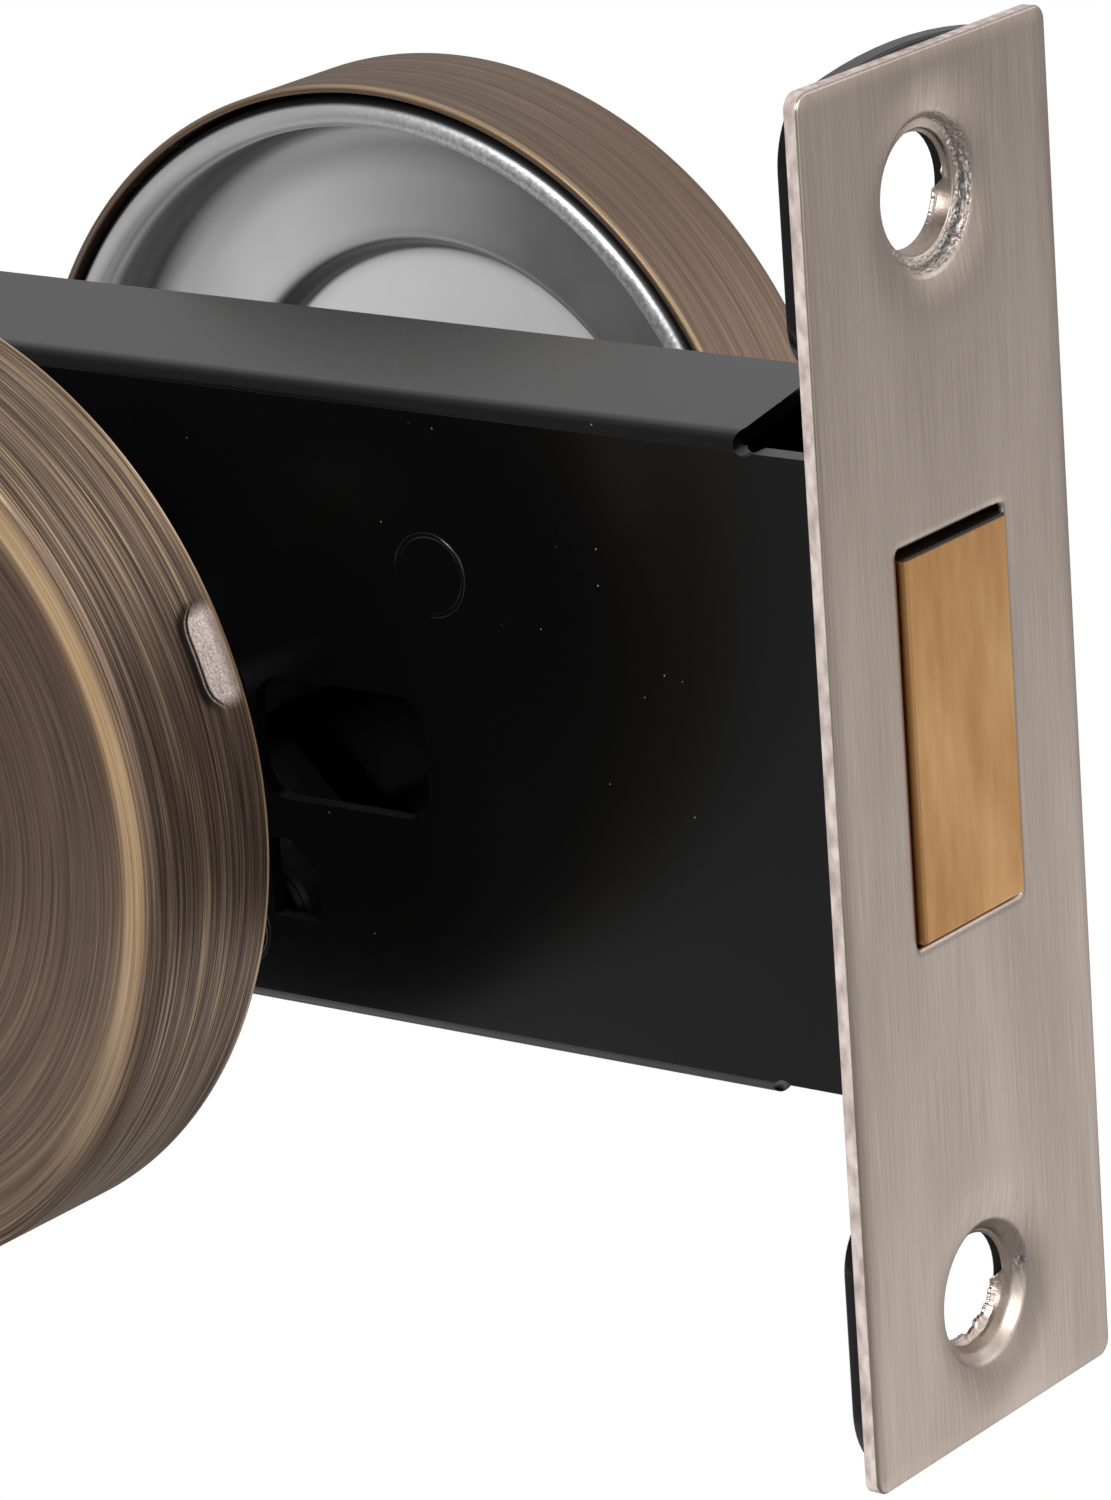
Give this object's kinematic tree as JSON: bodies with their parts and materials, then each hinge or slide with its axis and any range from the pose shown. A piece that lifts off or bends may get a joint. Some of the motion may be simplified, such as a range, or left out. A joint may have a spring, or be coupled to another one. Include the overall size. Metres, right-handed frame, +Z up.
{
  "type": "privacy indicator lock",
  "caption": "Mortice privacy bolt: sheet-steel case, brass dead bolt, round thumbturn rose inside and coin-release indicator rose outside.",
  "frame": {"origin": "midway between the two forend screw holes, on the plane where the faceplate and the inner forend meet", "axes": "+X out of the faceplate along the bolt's throw, +Y through the door from the thumbturn side to the indicator side, +Z up"},
  "size_m": [0.0898, 0.0876, 0.0834],
  "materials": {
    "satin_nickel": "satin, brushed along the height",
    "black_paint": "gloss black paint on steel",
    "bolt_brass": "dull, slightly blotched",
    "zinc_steel": "bright zinc plate",
    "plain_steel": "rolled bright steel",
    "antique_brass": "antiqued, brushed in circles and lacquered",
    "nylon": "natural nylon",
    "clear_lens": "clear polycarbonate",
    "indicator_enamel": "printed half green and half red"
  },
  "bodies": {
    "lock": {"faceplate": "satin_nickel", "inner_forend": "black_paint", "case_body": "black_paint", "case_cover": "black_paint", "case_pillars": "black_paint", "detent_spring": "plain_steel", "near_rose_cap": "antique_brass", "near_rose_cup": "plain_steel", "far_rose_cap": "antique_brass", "far_rose_cup": "plain_steel", "rose_posts": "zinc_steel", "rose_screws": "zinc_steel", "turn_bush": "nylon", "indicator_bezel": "antique_brass", "indicator_window": "clear_lens", "bezel_nut": "zinc_steel"},
    "turn": {"follower": "zinc_steel", "drive_pin": "plain_steel", "spindle": "plain_steel", "turn_knob": "antique_brass", "turn_circlip": "plain_steel", "grub_screw": "plain_steel", "indicator_disc": "indicator_enamel", "release_turn": "antique_brass", "release_circlip": "plain_steel"},
    "bolt": {"bolt_head": "bolt_brass", "bolt_tail": "zinc_steel", "bolt_rivets": "zinc_steel"}
  },
  "joints": [
    {"name": "bolt_slide", "type": "slide", "parent": "lock", "child": "bolt", "axis": [1, 0, 0], "range_m": [0, 0.013]},
    {"name": "turn", "type": "hinge", "parent": "lock", "child": "turn", "pos_m": [-0.059, 0, 0], "axis": [0, 1, 0], "range_deg": [0, 90]}
  ],
  "couplings": [
    {"joint": "turn", "follows": "bolt_slide", "rad_per_m": 120.83}
  ]
}
